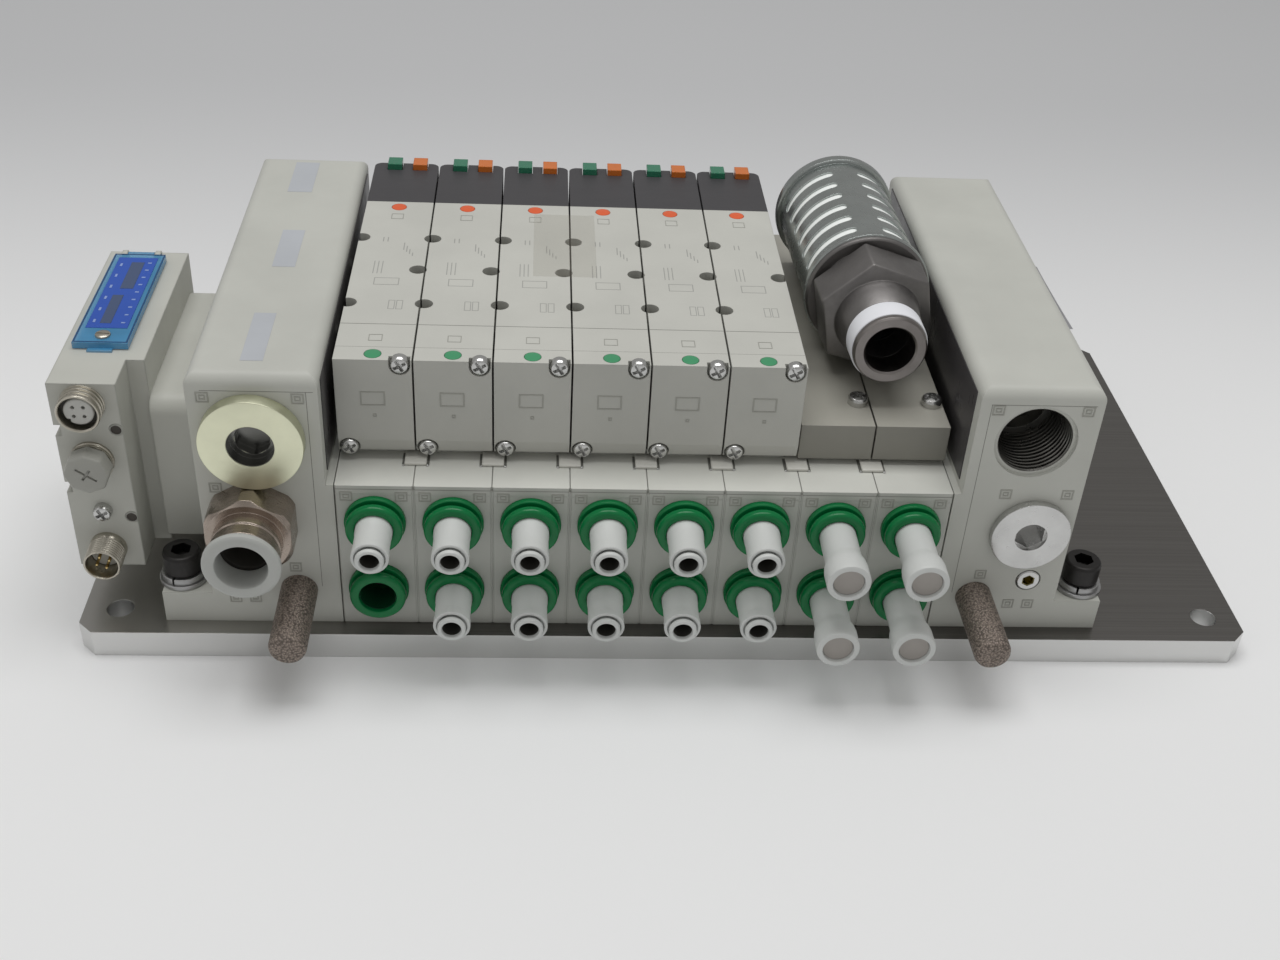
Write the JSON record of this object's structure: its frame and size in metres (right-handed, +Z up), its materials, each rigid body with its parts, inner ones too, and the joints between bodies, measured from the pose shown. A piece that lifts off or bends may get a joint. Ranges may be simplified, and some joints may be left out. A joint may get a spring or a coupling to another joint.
{
  "type": "pneumatic valve island",
  "caption": "Pneumatic valve island on a base plate: valves on a manifold with green tube ports, end blocks, a fieldbus unit and a loose silencer.",
  "frame": {"origin": "centre of the base plate's four-hole pattern, on the plate's underside", "axes": "+X to the right along the stations, +Y away from the tube ports, +Z up"},
  "size_m": [0.4005, 0.2244, 0.1263],
  "materials": {
    "plate_aluminium": "brushed",
    "housing_grey": "fine texture",
    "cover_grey": "satin",
    "gasket_black": "matt",
    "port_green": "satin",
    "tube_white": "satin",
    "ring_grey": "satin",
    "lamp_green": "translucent look",
    "lamp_orange": "translucent look",
    "button_green": "satin",
    "button_orange": "satin",
    "zinc_steel": "zinc plated",
    "yellow_zinc": "yellow passivated zinc",
    "clip_grey": "satin",
    "black_oxide": "black oxide",
    "nickel_brass": "nickel plated",
    "sintered_bronze": "porous",
    "connector_nickel": "nickel plated",
    "connector_grey": "satin",
    "display_blue": "tinted, clear",
    "panel_dark": "matt",
    "cast_grey": "die cast, satin",
    "can_steel": "zinc plated, perforated",
    "element_white": "porous"
  },
  "bodies": {
    "island": {"base_plate": "plate_aluminium", "manifold_blocks": "housing_grey", "seam_clips": "clip_grey", "port_guides": "port_green", "tube_reducers": "tube_white", "blanking_plugs": "tube_white", "valve_gaskets": "gasket_black", "valve_caps": "housing_grey", "valve_bodies": "housing_grey", "pilot_covers": "cover_grey", "lamp_windows_green": "lamp_green", "lamp_windows_orange": "lamp_orange", "blanking_plates": "housing_grey", "cross_screws": "zinc_steel", "left_end_block": "housing_grey", "right_end_block": "housing_grey", "foot_bolts": "black_oxide", "foot_washers": "zinc_steel", "supply_plug": "yellow_zinc", "hex_plugs": "zinc_steel", "supply_fitting": "nickel_brass", "pilot_silencers": "sintered_bronze", "interface_housing": "housing_grey", "switch_panel": "panel_dark", "interface_adapter": "housing_grey", "m12_shells": "connector_nickel", "connector_plastics": "connector_grey", "silencer_adaptor": "cast_grey", "silencer_can": "can_steel", "silencer_element": "element_white"},
    "release_ring_upper_1": {"release_ring_upper_1": "port_green"},
    "release_ring_upper_2": {"release_ring_upper_2": "port_green"},
    "release_ring_upper_3": {"release_ring_upper_3": "port_green"},
    "release_ring_upper_4": {"release_ring_upper_4": "port_green"},
    "release_ring_upper_5": {"release_ring_upper_5": "port_green"},
    "release_ring_upper_6": {"release_ring_upper_6": "port_green"},
    "release_ring_upper_7": {"release_ring_upper_7": "port_green"},
    "release_ring_upper_8": {"release_ring_upper_8": "port_green"},
    "release_ring_lower_1": {"release_ring_lower_1": "port_green"},
    "release_ring_lower_2": {"release_ring_lower_2": "port_green"},
    "release_ring_lower_3": {"release_ring_lower_3": "port_green"},
    "release_ring_lower_4": {"release_ring_lower_4": "port_green"},
    "release_ring_lower_5": {"release_ring_lower_5": "port_green"},
    "release_ring_lower_6": {"release_ring_lower_6": "port_green"},
    "release_ring_lower_7": {"release_ring_lower_7": "port_green"},
    "release_ring_lower_8": {"release_ring_lower_8": "port_green"},
    "override_front_1": {"override_front_1": "button_green"},
    "override_front_2": {"override_front_2": "button_green"},
    "override_front_3": {"override_front_3": "button_green"},
    "override_front_4": {"override_front_4": "button_green"},
    "override_front_5": {"override_front_5": "button_green"},
    "override_front_6": {"override_front_6": "button_green"},
    "override_rear_1": {"override_rear_1": "button_orange"},
    "override_rear_2": {"override_rear_2": "button_orange"},
    "override_rear_3": {"override_rear_3": "button_orange"},
    "override_rear_4": {"override_rear_4": "button_orange"},
    "override_rear_5": {"override_rear_5": "button_orange"},
    "override_rear_6": {"override_rear_6": "button_orange"},
    "supply_release_ring": {"supply_release_ring": "ring_grey"},
    "display_cover": {"display_cover": "display_blue"}
  },
  "joints": [
    {"name": "press_release_ring_upper_1", "type": "slide", "parent": "island", "child": "release_ring_upper_1", "axis": [0, 1, 0], "range_m": [0, 0.001], "stiffness_N_per_m": 300},
    {"name": "press_release_ring_upper_2", "type": "slide", "parent": "island", "child": "release_ring_upper_2", "axis": [0, 1, 0], "range_m": [0, 0.001], "stiffness_N_per_m": 300},
    {"name": "press_release_ring_upper_3", "type": "slide", "parent": "island", "child": "release_ring_upper_3", "axis": [0, 1, 0], "range_m": [0, 0.001], "stiffness_N_per_m": 300},
    {"name": "press_release_ring_upper_4", "type": "slide", "parent": "island", "child": "release_ring_upper_4", "axis": [0, 1, 0], "range_m": [0, 0.001], "stiffness_N_per_m": 300},
    {"name": "press_release_ring_upper_5", "type": "slide", "parent": "island", "child": "release_ring_upper_5", "axis": [0, 1, 0], "range_m": [0, 0.001], "stiffness_N_per_m": 300},
    {"name": "press_release_ring_upper_6", "type": "slide", "parent": "island", "child": "release_ring_upper_6", "axis": [0, 1, 0], "range_m": [0, 0.001], "stiffness_N_per_m": 300},
    {"name": "press_release_ring_upper_7", "type": "slide", "parent": "island", "child": "release_ring_upper_7", "axis": [0, 1, 0], "range_m": [0, 0.001], "stiffness_N_per_m": 300},
    {"name": "press_release_ring_upper_8", "type": "slide", "parent": "island", "child": "release_ring_upper_8", "axis": [0, 1, 0], "range_m": [0, 0.001], "stiffness_N_per_m": 300},
    {"name": "press_release_ring_lower_1", "type": "slide", "parent": "island", "child": "release_ring_lower_1", "axis": [0, 1, 0], "range_m": [0, 0.001], "stiffness_N_per_m": 300},
    {"name": "press_release_ring_lower_2", "type": "slide", "parent": "island", "child": "release_ring_lower_2", "axis": [0, 1, 0], "range_m": [0, 0.001], "stiffness_N_per_m": 300},
    {"name": "press_release_ring_lower_3", "type": "slide", "parent": "island", "child": "release_ring_lower_3", "axis": [0, 1, 0], "range_m": [0, 0.001], "stiffness_N_per_m": 300},
    {"name": "press_release_ring_lower_4", "type": "slide", "parent": "island", "child": "release_ring_lower_4", "axis": [0, 1, 0], "range_m": [0, 0.001], "stiffness_N_per_m": 300},
    {"name": "press_release_ring_lower_5", "type": "slide", "parent": "island", "child": "release_ring_lower_5", "axis": [0, 1, 0], "range_m": [0, 0.001], "stiffness_N_per_m": 300},
    {"name": "press_release_ring_lower_6", "type": "slide", "parent": "island", "child": "release_ring_lower_6", "axis": [0, 1, 0], "range_m": [0, 0.001], "stiffness_N_per_m": 300},
    {"name": "press_release_ring_lower_7", "type": "slide", "parent": "island", "child": "release_ring_lower_7", "axis": [0, 1, 0], "range_m": [0, 0.001], "stiffness_N_per_m": 300},
    {"name": "press_release_ring_lower_8", "type": "slide", "parent": "island", "child": "release_ring_lower_8", "axis": [0, 1, 0], "range_m": [0, 0.001], "stiffness_N_per_m": 300},
    {"name": "press_override_front_1", "type": "slide", "parent": "island", "child": "override_front_1", "axis": [0, 0, -1], "range_m": [0, 0.0012], "stiffness_N_per_m": 400},
    {"name": "press_override_front_2", "type": "slide", "parent": "island", "child": "override_front_2", "axis": [0, 0, -1], "range_m": [0, 0.0012], "stiffness_N_per_m": 400},
    {"name": "press_override_front_3", "type": "slide", "parent": "island", "child": "override_front_3", "axis": [0, 0, -1], "range_m": [0, 0.0012], "stiffness_N_per_m": 400},
    {"name": "press_override_front_4", "type": "slide", "parent": "island", "child": "override_front_4", "axis": [0, 0, -1], "range_m": [0, 0.0012], "stiffness_N_per_m": 400},
    {"name": "press_override_front_5", "type": "slide", "parent": "island", "child": "override_front_5", "axis": [0, 0, -1], "range_m": [0, 0.0012], "stiffness_N_per_m": 400},
    {"name": "press_override_front_6", "type": "slide", "parent": "island", "child": "override_front_6", "axis": [0, 0, -1], "range_m": [0, 0.0012], "stiffness_N_per_m": 400},
    {"name": "press_override_rear_1", "type": "slide", "parent": "island", "child": "override_rear_1", "axis": [0, 0, -1], "range_m": [0, 0.0012], "stiffness_N_per_m": 400},
    {"name": "press_override_rear_2", "type": "slide", "parent": "island", "child": "override_rear_2", "axis": [0, 0, -1], "range_m": [0, 0.0012], "stiffness_N_per_m": 400},
    {"name": "press_override_rear_3", "type": "slide", "parent": "island", "child": "override_rear_3", "axis": [0, 0, -1], "range_m": [0, 0.0012], "stiffness_N_per_m": 400},
    {"name": "press_override_rear_4", "type": "slide", "parent": "island", "child": "override_rear_4", "axis": [0, 0, -1], "range_m": [0, 0.0012], "stiffness_N_per_m": 400},
    {"name": "press_override_rear_5", "type": "slide", "parent": "island", "child": "override_rear_5", "axis": [0, 0, -1], "range_m": [0, 0.0012], "stiffness_N_per_m": 400},
    {"name": "press_override_rear_6", "type": "slide", "parent": "island", "child": "override_rear_6", "axis": [0, 0, -1], "range_m": [0, 0.0012], "stiffness_N_per_m": 400},
    {"name": "press_supply_release_ring", "type": "slide", "parent": "island", "child": "supply_release_ring", "axis": [0, 1, 0], "range_m": [0, 0.0009], "stiffness_N_per_m": 400},
    {"name": "open_display_cover", "type": "hinge", "parent": "island", "child": "display_cover", "pos_m": [-0.1885, 0.0026, 0.0964], "axis": [-1, 0, 0], "range_deg": [0, 110]}
  ]
}
